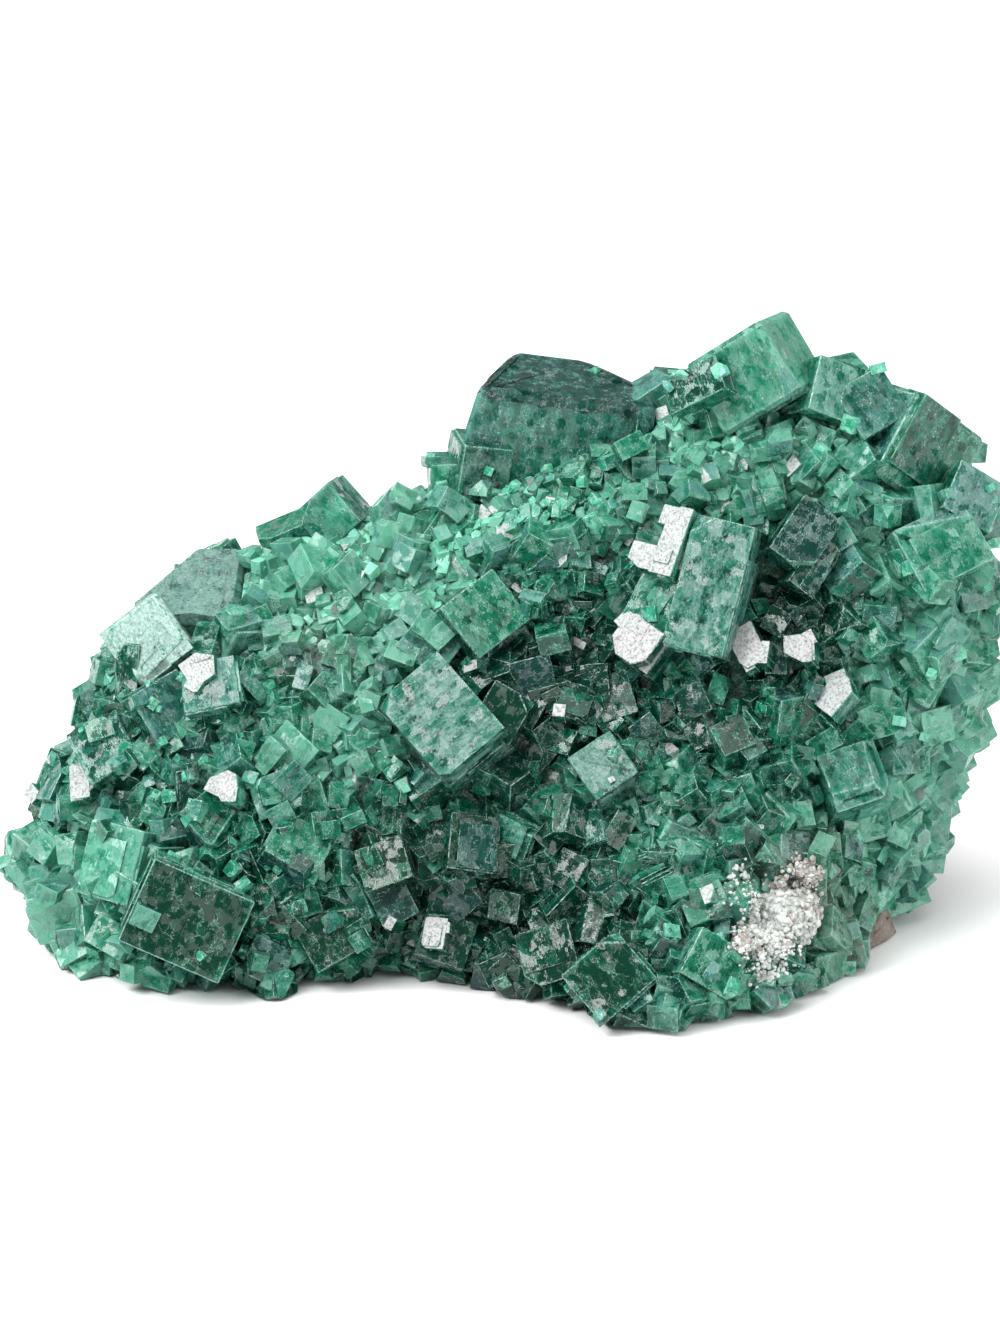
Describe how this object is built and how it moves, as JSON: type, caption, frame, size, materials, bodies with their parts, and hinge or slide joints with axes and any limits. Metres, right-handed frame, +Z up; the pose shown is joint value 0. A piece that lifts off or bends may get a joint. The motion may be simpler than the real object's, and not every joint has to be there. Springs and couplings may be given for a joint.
{
  "type": "fluorite crystal specimen",
  "caption": "Cluster of intergrown green fluorite cubes on a wedge of host rock, with a patch of white quartz, standing on a flat cut base.",
  "frame": {"origin": "a point of the host rock's flat cut base, under the middle of the specimen's length", "axes": "+X along the specimen's length, to the right as the crystal face is seen; -Y out of the crystal face; +Z up from the cut base"},
  "size_m": [0.1638, 0.0935, 0.0992],
  "materials": {
    "green_fluorite": "translucent emerald crystal, clear to frosted faces",
    "host_rock": "rough grey-brown rock",
    "white_quartz": "sugary white quartz"
  },
  "bodies": {
    "root": {"fluorite_crystals": "green_fluorite", "host_rock": "host_rock", "quartz_druse": "white_quartz"}
  },
  "joints": []
}
